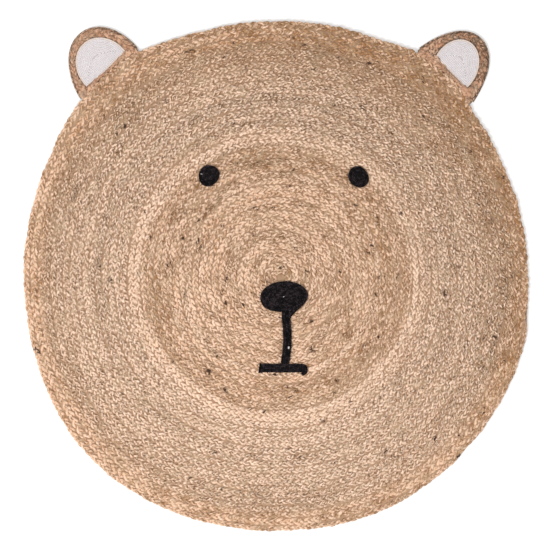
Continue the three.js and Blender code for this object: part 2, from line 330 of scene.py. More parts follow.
@dataclass(frozen=True)
class FibreGrain:
    """A node group of fine fibres that run along a strand, slightly twisted."""

    name: str = "fibre grain"
    inputs: tuple[str, ...] = ("Across", "Along", "Twist", "Plies")
    outputs: tuple[str, ...] = ("Mask", "Fleck", "Ply", "Patch")

    def group(self) -> bpy.types.NodeTree:
        """Returns the node group, made on its first use."""
        found = bpy.data.node_groups.get(self.name)
        if found:
            return found
        tree = bpy.data.node_groups.new(self.name, "ShaderNodeTree")
        tree.interface.new_socket("Vector", in_out="INPUT", socket_type="NodeSocketVector")
        for label in self.inputs:
            tree.interface.new_socket(label, in_out="INPUT", socket_type="NodeSocketFloat")
        for label in self.outputs:
            tree.interface.new_socket(label, in_out="OUTPUT", socket_type="NodeSocketFloat")
        source = tree.nodes.new("NodeGroupInput").outputs
        result = tree.nodes.new("NodeGroupOutput").inputs

        split = add_node(tree, "ShaderNodeSeparateXYZ", {0: source["Vector"]}).outputs
        twisted = calculate(tree, "MULTIPLY_ADD", split["X"], source["Twist"], split["Y"])
        along = calculate(tree, "MULTIPLY", split["X"], source["Along"])
        across = calculate(tree, "MULTIPLY", twisted, source["Across"])
        fibres = add_node(tree, "ShaderNodeCombineXYZ", {"X": along, "Y": across}).outputs[0]
        fine = {"Vector": fibres, "Scale": 1.0, "Detail": 3.0, "Roughness": 0.62}
        mask = add_node(tree, "ShaderNodeTexNoise", fine).outputs["Fac"]
        ply_angle = calculate(tree, "MULTIPLY", twisted, source["Plies"])
        ply = calculate(tree, "ABSOLUTE", calculate(tree, "SINE", ply_angle))
        bit_noise = {"Vector": fibres, "W": 7.0, "Scale": 0.8, "Detail": 1.0}
        bits = add_node(tree, "ShaderNodeTexNoise", bit_noise, noise_dimensions="4D").outputs["Fac"]
        cut = {"Value": bits, "From Min": 0.50, "From Max": 0.58}
        fleck = add_node(tree, "ShaderNodeMapRange", cut).outputs[0]
        place = add_node(tree, "ShaderNodeTexCoord", {}).outputs["Object"]
        wide = {"Vector": place, "Scale": 55.0, "Detail": 2.0}
        patches = add_node(tree, "ShaderNodeTexNoise", wide).outputs["Fac"]
        soft = {"Value": patches, "From Min": 0.45, "From Max": 0.68}
        patch = add_node(tree, "ShaderNodeMapRange", soft).outputs[0]
        for label, socket in zip(self.outputs, (mask, fleck, ply, patch)):
            tree.links.new(socket, result[label])
        return tree


@dataclass(frozen=True)
class Finish:
    """A finish for yarn: its colours from dark to light, its fibres and its soft sheen.

    Colours are linear red, green and blue. The dye's tone runs from dark to light, its warmth towards
    warm, and its fleck towards fleck. Soft patches all over it lean towards pale.
    """

    name: str
    slot: Slot
    dark: Triple
    light: Triple
    warm: Triple
    fleck: Triple
    pale: Triple = (0.5, 0.5, 0.5)
    pale_share: float = 0.0
    across: float = 330.0
    along: float = 170.0
    twist: float = 0.35
    grain: float = 2.4
    relief: float = 0.0014
    ply_width: float = 0.0024
    ply_relief: float = 0.0003
    roughness: float = 0.88
    roughness_spread: float = 0.08
    sheen: float = 0.1
    sheen_roughness: float = 0.5
    specular: float = 0.3

    def material(self) -> bpy.types.Material:
        """Returns the finish's material, made on its first use."""
        found = bpy.data.materials.get(self.name)
        if found:
            return found
        material = bpy.data.materials.new(self.name)
        material.use_nodes = True
        tree = material.node_tree
        shader = tree.nodes["Principled BSDF"]
        shader.inputs["Sheen Weight"].default_value = self.sheen
        shader.inputs["Sheen Roughness"].default_value = self.sheen_roughness
        shader.inputs["Specular IOR Level"].default_value = self.specular

        dye = add_node(tree, "ShaderNodeAttribute", {}, attribute_name="dye").outputs["Color"]
        parts = add_node(tree, "ShaderNodeSeparateColor", {0: dye}).outputs
        strand = add_node(tree, "ShaderNodeUVMap", {}, uv_map="strand").outputs["UV"]
        fibres = {
            "Vector": strand,
            "Across": self.across,
            "Along": self.along,
            "Twist": self.twist,
            "Plies": math.pi / self.ply_width,
        }
        grain = add_node(tree, "ShaderNodeGroup", fibres, node_tree=FibreGrain().group()).outputs

        centred = calculate(tree, "SUBTRACT", grain["Mask"], 0.5)
        tone = calculate(tree, "MULTIPLY_ADD", centred, 2 * self.grain, parts["Red"], clamp=True)
        colour = mix(tree, tone, self.dark, self.light)
        colour = mix(tree, parts["Green"], colour, self.warm)
        pale = calculate(tree, "MULTIPLY", grain["Patch"], self.pale_share)
        colour = mix(tree, pale, colour, self.pale)
        flecked = calculate(tree, "MULTIPLY", grain["Fleck"], parts["Blue"])
        colour = mix(tree, flecked, colour, self.fleck)
        tree.links.new(colour, shader.inputs["Base Color"])

        least = self.roughness - self.roughness_spread
        most = min(self.roughness + self.roughness_spread, 1.0)
        rough = {"Value": grain["Mask"], "To Min": least, "To Max": most}
        tree.links.new(add_node(tree, "ShaderNodeMapRange", rough).outputs[0], shader.inputs["Roughness"])
        ply_share = self.ply_relief / self.relief
        height = calculate(tree, "MULTIPLY_ADD", grain["Ply"], ply_share, grain["Mask"])
        relief = {"Strength": 1.0, "Distance": self.relief, "Height": height}
        tree.links.new(add_node(tree, "ShaderNodeBump", relief).outputs[0], shader.inputs["Normal"])
        return material


JUTE = Finish(
    name="jute",
    slot=Slot.JUTE,
    dark=(0.140, 0.068, 0.022),
    light=(0.945, 0.69, 0.525),
    warm=(0.62, 0.31, 0.135),
    fleck=(0.058, 0.028, 0.014),
    pale=(0.60, 0.455, 0.295),
    pale_share=0.24,
)
# The valleys' darker jute is painted shade for the gaps between the turns.
JUTE_SHADE = replace(JUTE, name="jute in the valleys", light=(0.52, 0.33, 0.21), dark=(0.38, 0.23, 0.14))
EAR_JUTE = replace(
    JUTE,
    name="jute of the ears",
    slot=Slot.RIM,
    dark=(0.065, 0.036, 0.020),
    light=(0.72, 0.45, 0.30),
    warm=(0.42, 0.17, 0.075),
    pale=(0.30, 0.24, 0.17),
    pale_share=0.35,
    along=180.0,
)
WHITE_COTTON = Finish(
    name="white cotton",
    slot=Slot.WHITE,
    dark=(0.56, 0.51, 0.51),
    light=(0.71, 0.66, 0.67),
    warm=(0.74, 0.57, 0.43),
    fleck=(0.40, 0.34, 0.30),
    across=480.0,
    along=250.0,
    twist=0.8,
    grain=1.3,
    relief=0.0004,
    ply_width=0.0009,
    ply_relief=0.0001,
    roughness=0.9,
    sheen=0.2,
)
BLACK_COTTON = Finish(
    name="black cotton",
    slot=Slot.BLACK,
    dark=(0.0010, 0.0007, 0.0009),
    light=(0.046, 0.033, 0.038),
    warm=(0.52, 0.50, 0.48),
    fleck=(0.05, 0.03, 0.02),
    across=430.0,
    along=260.0,
    twist=0.8,
    grain=2.0,
    relief=0.0004,
    ply_width=0.0009,
    ply_relief=0.0001,
    roughness=0.9,
    sheen=0.0,
    specular=0.12,
)


def dress(piece: Piece, finish: Finish, node: str) -> Piece:
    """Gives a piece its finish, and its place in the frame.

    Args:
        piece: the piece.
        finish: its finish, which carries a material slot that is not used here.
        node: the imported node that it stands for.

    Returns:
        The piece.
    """
    piece.data.materials.clear()
    piece.data.materials.append(finish.material())
    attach(piece, "root")
    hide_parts(node)
    LOG.info("%s: %d faces", piece.name, len(piece.data.polygons))
    return piece


# The coil's path


@dataclass(frozen=True)
class Wave:
    """One wave of an outline about its middle, with its heights at the edge."""

    count: int
    cosine: float
    sine: float

    def height(self, angle: Array | float) -> Array:
        """Returns how far it draws the outline out in a direction."""
        return self.cosine * np.cos(self.count * angle) + self.sine * np.sin(self.count * angle)


@dataclass(frozen=True)
class Bulge:
    """Where an outline stands out, with its direction and its spread in degrees."""

    direction: float
    height: float
    spread: float

    def rise(self, angle: Array | float) -> Array:
        """Returns how far the outline stands out in a direction."""
        off = angle_between(angle, math.radians(self.direction)) / math.radians(self.spread)
        return self.height * np.exp(-(off**2) / 2)


@dataclass(frozen=True)
class Coil:
    """One flat braid wound counter-clockwise, its last two turns of a wider braid."""

    turns: int = 39
    inner_edge_of_end: float = 0.496
    field_turns: float = 37.5
    border_swell: float = 0.27
    start_width: float = 0.016
    end_width: float = 0.009
    end_angle: float = math.radians(353)
    tuck: float = 8 / 360
    start_offset: Place = (0.0078, 0.0016)
    waves: tuple[Wave, ...] = (
        Wave(1, 0.0008, 0.0034),
        Wave(2, -0.0024, 0.0019),
        Wave(3, 0.0009, -0.0012),
        Wave(4, -0.0032, -0.0007),
        Wave(5, 0.0007, -0.0002),
        Wave(6, 0.0008, -0.0009),
    )
    bulges: tuple[Bulge, ...] = (
        Bulge(122.8, 0.0135, 4.9),
        Bulge(134, 0.0132, 5.5),
        Bulge(145, 0.0056, 7),
        Bulge(47, 0.0113, 3.6),
        Bulge(57.2, 0.0140, 4.8),
    )
    wave_power: int = 2
    bulge_power: int = 8
    usual_turn: float = 10.0

    def _swollen(self, turns: Array | float) -> Array:
        """Returns the turns counted by width, the wide ones for more."""
        past = np.maximum(np.asarray(turns, dtype=float) - self.field_turns, 0)
        return turns + self.border_swell * np.where(past < 1, past * past / 2, past - 0.5)

    def radius(self, turns: Array | float) -> Array:
        """Returns the nominal radius of the braid's inner edge after a number of turns."""
        return self.inner_edge_of_end * self._swollen(turns) / self._swollen(self.turns)

    def width(self, turns: Array | float) -> Array:
        """Returns the nominal width of the braid at a place along the coil."""
        turns = np.asarray(turns, dtype=float)
        last = turns - (self.turns - 1)
        ending = self.start_width + (self.end_width - self.start_width) * last
        ending = ending * (1 - smoothstep(last, 1 - self.tuck, 1))
        return np.where(last < 0, self.radius(turns + 1) - self.radius(turns), ending)

    def angle(self, turns: Array | float) -> Array:
        """Returns the direction of a place along the coil."""
        return self.end_angle + TURN * np.asarray(turns)

    def place(self, radius: Array | float, angle: Array | float) -> Array:
        """Returns the rug's place of a nominal radius in a direction, with its uneven outline."""
        share = np.asarray(radius) / self.inner_edge_of_end
        edge = sum(wave.height(angle) for wave in self.waves)
        bulge = sum(bulge.rise(angle) for bulge in self.bulges)
        place = polar(radius + edge * share**self.wave_power + bulge * share**self.bulge_power, angle)
        inward = 1 - np.minimum(share, 1)
        return place + np.stack([offset * inward for offset in self.start_offset], axis=-1)

    def outline(self, angle: Array | float, margin: float) -> Array:
        """Returns the outline's point in a direction, drawn out by a margin."""
        turn = ((np.asarray(angle) - self.end_angle) / TURN) % 1
        turns = self.turns - 1 + turn
        return self.place(self.radius(turns) + self.width(turns) + margin, angle)


# The jute's dye


@dataclass(frozen=True)
class Band:
    """A ring of the coil: how light and how warm its jute is at a radius, from 0 to 1."""

    radius: float
    light: float
    warm: float


@dataclass(frozen=True)
class Shade:
    """A stretch of darker, lighter or warmer jute, in a direction in degrees and at a radius."""

    direction: float
    radius: float
    spread: float
    depth: float
    light: float
    warm: float = 0.0


@dataclass(frozen=True)
class Spread:
    """How far the dye strays, in the inner field and in the outer one."""

    inner: float
    outer: float

    def at(self, outer: Array) -> Array:
        """Returns the spread where the outer field has a share."""
        return self.inner + (self.outer - self.inner) * outer


@dataclass(frozen=True)
class JuteDye:
    """How the jute's tone goes over the round: rings, soft patches, yarn lots and dark flecks."""

    bands: tuple[Band, ...] = tuple(
        Band(*ring)
        for ring in (  # radius, light, warm
            (0.000, 0.47, 0.25), (0.009, 0.38, 0.24), (0.023, 0.47, 0.24), (0.031, 0.42, 0.25),
            (0.040, 0.64, 0.26), (0.053, 0.50, 0.27), (0.063, 0.70, 0.28), (0.072, 0.66, 0.26),
            (0.080, 0.39, 0.25), (0.090, 0.41, 0.24), (0.105, 0.61, 0.27), (0.125, 0.67, 0.27),
            (0.134, 0.52, 0.26), (0.148, 0.59, 0.26), (0.157, 0.53, 0.25), (0.166, 0.66, 0.25),
            (0.185, 0.56, 0.22), (0.205, 0.57, 0.24), (0.216, 0.44, 0.25), (0.235, 0.44, 0.25),
            (0.254, 0.37, 0.24), (0.260, 0.36, 0.20), (0.267, 0.76, 0.14), (0.280, 0.65, 0.09),
            (0.290, 0.61, 0.07), (0.297, 0.44, 0.03), (0.318, 0.44, 0.00), (0.328, 0.46, 0.00),
            (0.345, 0.38, 0.00), (0.358, 0.44, 0.00), (0.370, 0.57, 0.02), (0.384, 0.52, 0.02),
            (0.398, 0.49, 0.03), (0.412, 0.46, 0.05), (0.432, 0.39, 0.06), (0.440, 0.39, 0.07),
            (0.453, 0.33, 0.11), (0.466, 0.39, 0.26), (0.485, 0.42, 0.31), (0.505, 0.46, 0.31),
        )
    )
    shades: tuple[Shade, ...] = tuple(
        Shade(*stretch)
        for stretch in (  # direction, radius, spread, depth, light, and warm where it differs
            (42, 0.450, 50, 0.050, -0.14), (42, 0.490, 34, 0.018, -0.30),
            (292, 0.068, 10, 0.022, 0.22), (232, 0.068, 22, 0.022, 0.10),
            (-6, 0.068, 20, 0.022, -0.14), (345, 0.490, 12, 0.016, -0.09),
            (205, 0.486, 38, 0.018, 0.19), (165, 0.492, 14, 0.013, 0.14),
            (130, 0.440, 22, 0.050, -0.06), (105, 0.410, 20, 0.030, 0.07, 0.05),
            (70, 0.430, 38, 0.045, -0.03, 0.12), (240, 0.490, 24, 0.014, 0.05),
            (305, 0.450, 18, 0.034, 0.14), (86, 0.465, 10, 0.035, -0.12),
            (215, 0.285, 62, 0.022, 0.09), (318, 0.300, 26, 0.028, 0.07),
            (322, 0.475, 14, 0.018, 0.06), (265, 0.290, 26, 0.022, 0.08),
            (278, 0.325, 34, 0.022, 0.08), (225, 0.400, 50, 0.070, 0.06, 0.03),
            (240, 0.330, 70, 0.014, 0.07), (88, 0.220, 28, 0.030, -0.10),
            (-4, 0.195, 22, 0.034, -0.10), (285, 0.100, 16, 0.030, 0.09),
            (-50, 0.210, 12, 0.030, -0.04), (200, 0.235, 12, 0.020, -0.08),
            (20, 0.178, 18, 0.020, -0.08), (120, 0.200, 22, 0.022, -0.06),
            (105, 0.085, 18, 0.030, 0.08), (215, 0.140, 36, 0.060, 0.08),
            (140, 0.170, 22, 0.030, -0.07), (80, 0.380, 60, 0.012, -0.05),
        )
    )
    inner_field: Place = (0.24, 0.27)
    border: Place = (0.455, 0.470)
    lot_length: float = 0.34
    lots: Spread = Spread(0.15, 0.06)
    patch_length: float = 0.04
    patches: Spread = Spread(0.16, 0.0)
    streak_length: float = 0.022
    streaks: Spread = Spread(0.21, 0.04)
    lobes: Spread = Spread(0.21, 0.13)
    border_lobes: float = 0.46
    # painted light and shade: a strand is lighter where it crosses on top of the braid, darker where it dives
    # under
    crown_painted_light: float = 0.03
    # painted shade down the strands' sides, where neighbouring strands would shade them
    side_shade: float = 0.30
    flecks: Spread = Spread(0.26, 0.12)
    warm_spread: float = 0.10
    streak_seed: int = 29
    dark_streak: float = 0.85
    dark_streak_start: float = 0.45
    dark_streak_mean: float = 0.06

    def along(
        self,
        rng: Random,
        points: Array,
        along: Array,
        lobes: Array,
        crown: Array,
    ) -> Array:
        """Works out a strand's dye.

        Args:
            rng: the source of random numbers.
            points: the strand's points.
            along: their distance along the strand.
            lobes: the same distance, counted in lobes.
            crown: how high the strand lies in the braid, from -1 to 1.

        Returns:
            Tone, warmth and fleck for each point.
        """
        radius = np.hypot(points[:, 0], points[:, 1])
        angle = np.arctan2(points[:, 1], points[:, 0])
        at = [band.radius for band in self.bands]
        tone = np.interp(radius, at, [band.light for band in self.bands])
        warm = np.interp(radius, at, [band.warm for band in self.bands])
        for shade in self.shades:
            off_angle = angle_between(angle, math.radians(shade.direction)) / math.radians(shade.spread)
            off_radius = (radius - shade.radius) / shade.depth
            share = np.exp(-(off_angle**2 + off_radius**2) / 2)
            tone = tone + shade.light * share
            warm = warm + shade.warm * share
        outer = smoothstep(radius, *self.inner_field)
        tone = tone + self.lots.at(outer) * uneven(rng, along, self.lot_length, 1)
        tone = tone + self.patches.at(outer) * uneven(rng, along, self.patch_length, 1)
        shared = np.random.default_rng(self.streak_seed)
        streak = uneven(shared, along, self.streak_length, 1)
        tone = tone + self.streaks.at(outer) * streak
        own_streak = uneven(rng, along, self.streak_length, 1)
        darkest = np.maximum(-own_streak - self.dark_streak_start, 0) - self.dark_streak_mean
        tone = tone - (1 - outer) * self.dark_streak * darkest
        rise = (self.border_lobes - self.lobes.outer) * smoothstep(radius, *self.border)
        tone = tone + (self.lobes.at(outer) + rise) * uneven(rng, lobes, 1.0, 1)
        # Painted light and shade over the crossings, and the mean of the painted side shade added back
        tone = tone + self.crown_painted_light * crown + self.side_shade * SEEN_SHADE
        for length in (self.lot_length, self.patch_length):
            warm = warm + uneven(rng, along, length, self.warm_spread)
        lobe = np.floor(lobes).astype(int)
        chance = self.flecks.at(outer) * np.maximum(-streak, 0) ** 2
        flecked = rng.random(lobe.max() + 1)[lobe] < chance
        return np.stack((tone, np.clip(warm, 0, 1), flecked), axis=-1)


# The round


@dataclass(frozen=True)
class Braid:
    """A flat three-strand braid: sideways sizes in shares of its width, heights in metres."""

    strands: int = 3
    period: float = 2.92
    swing: float = 0.335
    half_strand: float = 0.195
    middle: float = 0.0044
    crossing: float = 0.0020
    half_thickness: float = 0.0023
    overlap: float = 0.0004
    clearance: float = 0.0001
    least_share: float = 0.3
    width_spread: float = 0.22
    lag: float = 0.045
    stray: float = 0.0010
    stray_height: float = 0.0005
    thickness_spread: float = 0.08
    rings: int = 10
    sides: int = 6

    def section(self, phase: Array, width: Array) -> tuple[Array, Array]:
        """Returns how far to the side and how high a strand lies at a phase of the braid."""
        return self.swing * width * np.sin(phase), self.middle + self.crossing * np.sin(2 * phase)


RIM_BRAID = Braid(
    period=2.5,
    swing=0.275,
    half_strand=0.225,
    middle=0.0040,
    crossing=0.0019,
    half_thickness=0.0022,
    width_spread=0.15,
    lag=0.03,
    thickness_spread=0.1,
    sides=8,
)


@dataclass
class CoiledRound:
    """The round: a long braid coiled flat, on the sewing that holds its turns together."""

    coil: Coil = field(default_factory=Coil)
    braid: Braid = field(default_factory=Braid)
    dye: JuteDye = field(default_factory=JuteDye)
    ground_bottom: float = 0.0030
    ground_top: float = 0.0054
    ground_inset: float = 0.0026
    ground_points: int = 180
    path_steps: int = 240
    pieces: int = 4
    ground_rounding: float = 0.0006
    wander: float = 0.0015
    wander_length: float = 0.045
    seed: int = 11

    def _strand(self, rng: Random, number: int) -> Strand:
        """Makes one of the braid's strands along the whole coil.

        Args:
            rng: the source of random numbers.
            number: which of the braid's strands.

        Returns:
            The strand.
        """
        coil, braid = self.coil, self.braid
        turns = np.arange(0, coil.turns * self.path_steps + 1) / self.path_steps
        width = coil.width(turns)
        radius = coil.radius(turns) + width / 2
        line = coil.place(radius, coil.angle(turns))
        along = lengths_along(line)
        usual_width = coil.width(coil.usual_turn)
        steady = (np.maximum(width, coil.end_width) + usual_width) / 2
        phases = np.concatenate(((0.0,), np.cumsum(np.diff(along) / (braid.period * steady[1:]))))
        count = int(phases[-1] * braid.rings)
        phase = np.arange(count + 1) / braid.rings
        place = np.interp(phase, phases, turns)
        own_phase = phase + number / braid.strands
        lobes = 2 * own_phase + LOBE_START
        turn_width = coil.width(place)
        turn_radius = coil.radius(place) + turn_width / 2
        fullness = 1 + uneven(rng, lobes, 1.0, braid.width_spread)
        lag = uneven(rng, lobes, 1.0, braid.lag)
        aside, height = braid.section(TURN * (own_phase + lag), turn_width)
        crown = (height - braid.middle) / braid.crossing
        aside = aside + uneven(rng, lobes, 1.0, braid.stray)
        height = height + uneven(rng, lobes, 1.0, braid.stray_height)
        distance = np.interp(phase, phases, along)
        wander = uneven(np.random.default_rng(self.seed), distance, self.wander_length, self.wander)
        flat = coil.place(turn_radius + aside + wander, coil.angle(place))
        swell = np.clip(turn_width / usual_width, braid.least_share, None) ** 0.5
        half_width = braid.half_strand * turn_width * fullness + braid.overlap
        half_thickness = braid.half_thickness * swell * (1 + uneven(rng, lobes, 1.0, braid.thickness_spread))
        least_height = half_thickness + braid.clearance
        height = np.maximum(braid.middle + (height - braid.middle) * swell, least_height)
        points = np.column_stack((flat, height))
        dye = self.dye.along(rng, points, distance, lobes, crown)
        return Strand(points, half_width, half_thickness, dye, shade=self.dye.side_shade)

    def _ground(self) -> Piece:
        """Makes the thin ground where the sewing runs from turn to turn, darker as painted shade in the gaps.
        """
        angles = np.linspace(0, TURN, self.ground_points, endpoint=False)
        outline = self.coil.outline(angles, -self.ground_inset)
        heights = (self.ground_bottom, self.ground_top)
        ground = plate("round_ground", outline, *heights, self.ground_rounding)
        return dress(ground, JUTE_SHADE, "round")

    def build(self) -> list[Piece]:
        """Builds the round and returns its pieces."""
        rng = np.random.default_rng(self.seed)
        strands = [self._strand(rng, number) for number in range(self.braid.strands)]
        braids = []
        last = len(strands[0].points)
        cuts = [round(last * share / self.pieces) for share in range(self.pieces + 1)]
        for piece, (start, end) in enumerate(zip(cuts, cuts[1:]), start=1):
            stretch = [strand.cut(start, min(end + 1, last)) for strand in strands]
            braid = sweep(f"round_braid_{piece}", stretch, self.braid.sides)
            braids.append(dress(braid, JUTE, "round"))
        ground = self._ground()
        return [ground, *braids]


# Sewn rows


@dataclass(frozen=True)
class SewnRow:
    """A row of stitches in cotton yarn."""

    pitch: float = 0.0033
    stitch: float = 0.0042
    half_width: float = 0.0020
    half_thickness: float = 0.0010
    step: float = 0.00105
    sides: int = 6
    thin: float = 0.80
    swell: float = 0.28
    rise: float = 0.0002
    rise_spread: float = 0.00012
    tone: float = 0.5
    tone_spread: float = 0.25
    speck_radius: float = 0.0012

    def strand(
        self,
        rng: Random,
        line: Array,
        height: float,
        closed: bool,
        warmth: float = 0.0,
        specks: Sequence[Place] = (),
    ) -> Strand:
        """Makes one row.

        Args:
            rng: the source of random numbers.
            line: its flat centre line.
            height: height of its middle.
            closed: whether it comes back to its start.
            warmth: the dye's warmth.
            specks: places where a pale thread shows.

        Returns:
            The row as a strand.
        """
        line = np.vstack((line, line[:1])) if closed else line
        flat = evenly_spaced(line, self.step)
        flat = flat[:-1] if closed else flat
        along = lengths_along(flat)
        stitches = along / self.stitch + rng.random()
        arch = np.abs(np.sin(math.pi * stitches))
        plump = self.thin + self.swell * arch
        rise = height + self.rise * arch + uneven(rng, stitches, 1.0, self.rise_spread)
        tone = self.tone + uneven(rng, stitches, 1.0, self.tone_spread)
        warm = np.full(len(flat), warmth)
        for speck in specks:
            warm = np.maximum(warm, np.linalg.norm(flat - speck, axis=1) < self.speck_radius)
        dye = np.stack((tone, warm, np.zeros(len(flat))), axis=-1)
        points = np.column_stack((flat, rise))
        return Strand(points, self.half_width * plump, self.half_thickness * plump, dye, closed)


# The ears


@dataclass(frozen=True)
class Arch:
    """A leaning half ellipse in an ear's own reach (outwards) and across (clockwise)."""

    reach: float
    across: float
    half_width: float
    height: float
    lean: float
    farthest: float = 0.8 * math.pi
    halvings: int = 40

    def point(self, angle: Array | float) -> Array:
        """Returns its point, from one foot at -90 degrees over the top at 0 to the other at 90."""
        side = self.half_width * np.sin(angle)
        over = self.height * np.cos(angle)
        tilt = math.radians(self.lean)
        return np.stack(
            (
                self.reach + over * math.cos(tilt) - side * math.sin(tilt),
                self.across + side * math.cos(tilt) + over * math.sin(tilt),
            ),
            axis=-1,
        )

    def grown(self, margin: float) -> Arch:
        """Returns the arch drawn out by a margin."""
        return replace(self, half_width=self.half_width + margin, height=self.height + margin)

    def line(self, is_outside: Callable[[Array], bool], steps: int) -> Array:
        """Returns the part of the arch for which a test holds.

        Args:
            is_outside: the test on a point in reach and across.
            steps: how many steps the line has.

        Returns:
            Evenly turned points from foot to foot.
        """
        feet = []
        for far in (-self.farthest, self.farthest):
            low, high = 0.0, far
            for _ in range(self.halvings):
                middle = (low + high) / 2
                if is_outside(self.point(middle)):
                    low = middle
                else:
                    high = middle
            feet.append(low)
        return self.point(np.linspace(*feet, steps + 1))


@dataclass(frozen=True)
class RimDye:
    """The tones of an ear's rim: at the top of its arch, at its feet and on its outer cord."""

    top: float
    feet: float
    cord: float
    base: float = 0.78
    # darker core under the braid: painted shade in the gaps between its strands
    core: float = 0.34
    core_warm: float = 0.2
    spread: float = 0.22
    cord_spread: float = 0.16
    warm: float = 0.3
    fleck: float = 0.35
    # painted shade down the strands' sides, where neighbouring strands would shade them
    side_shade: float = 0.45
    top_power: float = 1.5


@dataclass(frozen=True)
class RimCord:
    """The thin cord along a rim's outer edge."""

    inset: float = 0.0018
    middle: float = 0.0027
    half_width: float = 0.0017
    half_thickness: float = 0.0025
    width_spread: float = 0.15
    lobe_points: int = 7


@dataclass
class Ear:
    """One ear: a braided rim round a white patch sewn in rows."""

    side: str
    direction: float
    arch: Arch
    patch: Arch
    base_reach: float
    base_slope: float
    rim_dye: RimDye
    seed: int
    coil: Coil = field(default_factory=Coil)
    rows: SewnRow = field(default_factory=lambda: SewnRow(tone=0.72, tone_spread=0.2))
    braid: Braid = RIM_BRAID
    cord: RimCord = field(default_factory=RimCord)
    gap: float = 0.0003
    arch_steps: int = 160
    base_steps: int = 120
    braid_inset: float = 0.0032
    core_middle: float = 0.0019
    core_inset: float = 0.0002
    base_growth: float = 0.12
    base_overlap: float = 0.0022
    cloth_bottom: float = 0.0002
    cloth_top: float = 0.0042
    cloth_inset: float = 0.0006
    crown: float = 0.0006
    outer_row_warmth: float = 0.55

    def place(self, points: Array) -> Array:
        """Returns the rug's places of points in the ear's reach and across."""
        out = math.radians(self.direction)
        reach, across = points[..., 0], points[..., 1]
        x = reach * math.cos(out) + across * math.sin(out)
        y = reach * math.sin(out) - across * math.cos(out)
        return np.stack((x, y), axis=-1)

    def outer_arch(self) -> Array:
        """Returns the rim's outer line over the arch."""

        def beyond_round(point: Array) -> bool:
            """Tells whether a point lies outside the round."""
            x, y = self.place(point)
            edge = self.coil.outline(math.atan2(y, x), 2 * self.gap)
            return math.hypot(x, y) > math.hypot(*edge)

        return self.place(self.arch.line(beyond_round, self.arch_steps))

    def outer_base(self, arch: Array) -> Array:
        """Returns the rim's outer line along the edge of the round, after its arch."""
        start = math.atan2(arch[-1][1], arch[-1][0])
        sweep_angle = float(angle_between(math.atan2(arch[0][1], arch[0][0]), start))
        angles = start + sweep_angle * np.linspace(0, 1, self.base_steps + 1)
        return self.coil.outline(angles, 2 * self.gap)

    def patch_arch(self, margin: float) -> Array:
        """Returns the patch's arch, drawn out by a margin."""

        def beyond_base(point: Array) -> bool:
            """Tells whether a point lies outside the patch's base line."""
            return point[0] > self.base_reach - margin + self.base_slope * point[1]

        return self.place(self.patch.grown(margin).line(beyond_base, self.arch_steps))

    def patch_line(self, margin: float) -> Array:
        """Returns the patch's whole outline, counter-clockwise, drawn out by a margin."""
        arch = self.patch_arch(margin)
        share = np.linspace(0, 1, self.base_steps + 1)[1:-1, None]
        base = arch[-1] + (arch[0] - arch[-1]) * share
        return np.vstack((arch, base))[::-1]

    def _braided(
        self,
        rng: Random,
        outer: Array,
        inner: Array,
        tone: Array,
        inset: float,
    ) -> list[Strand]:
        """Makes a flat braid that fills the space between two lines.

        Args:
            rng: the source of random numbers.
            outer: the line on its outer side.
            inner: the line on its inner side, with as many points.
            tone: the dye's tone at each point.
            inset: how far the braid stays from its outer line.

        Returns:
            Its three strands, and the flat core under them.
        """
        across = inner - outer
        width = np.linalg.norm(across, axis=1)
        start = inset / width
        middle = outer + across * ((1 + start) / 2)[:, None]
        braid_width = width - inset
        braid, dye, count = self.braid, self.rim_dye, len(tone)
        steps = np.diff(lengths_along(middle)) / (braid.period * braid_width[1:])
        phases = np.concatenate(((0.0,), np.cumsum(steps)))
        strands = []
        for number in range(braid.strands):
            phase = phases + number / braid.strands
            lobes = 2 * phase + LOBE_START
            phase = phase + uneven(rng, lobes, 1.0, braid.lag)
            aside, height = braid.section(TURN * phase, 1.0)
            share = start + (1 - start) * (0.5 + aside)
            flat = outer + across * share[:, None]
            fullness = 1 + uneven(rng, lobes, 1.0, braid.width_spread)
            half_thickness = braid.half_thickness * (1 + uneven(rng, lobes, 1.0, braid.thickness_spread))
            # Adds back the mean darkening of the painted side shade.
            tones = tone + dye.side_shade * SEEN_SHADE + uneven(rng, lobes, 1.0, dye.spread)
            warm = np.clip(dye.warm + uneven(rng, lobes, 1.0, dye.warm), 0, 1)
            strands.append(
                Strand(
                    np.column_stack((flat, height)),
                    braid.half_strand * braid_width * fullness,
                    half_thickness,
                    np.column_stack((tones, warm, np.full(count, dye.fleck))),
                    shade=dye.side_shade,
                )
            )
        # The core's darker tone is painted shade in the gaps between the strands.
        core = Strand(
            np.column_stack(((outer + inner) / 2, np.full(count, self.core_middle))),
            width / 2 - self.core_inset,
            np.full(count, self.core_middle - self.core_inset),
            np.tile((dye.core, dye.core_warm, 0.0), (count, 1)),
        )
        return [*strands, core]

    def _cord(self, rng: Random, outer: Array, inner: Array) -> Strand:
        """Makes the thin dark cord along the rim's outer edge."""
        cord, dye, count = self.cord, self.rim_dye, len(outer)
        across = inner - outer
        share = cord.inset / np.linalg.norm(across, axis=1)
        flat = outer + across * share[:, None]
        lobes = np.arange(count) / cord.lobe_points
        tone = dye.cord + uneven(rng, lobes, 1.0, dye.cord_spread)
        return Strand(
            np.column_stack((flat, np.full(count, cord.middle))),
            cord.half_width * (1 + uneven(rng, lobes, 1.0, cord.width_spread)),
            np.full(count, cord.half_thickness),
            np.column_stack((tone, np.zeros(count), np.full(count, dye.fleck))),
            shade=dye.side_shade,
        )

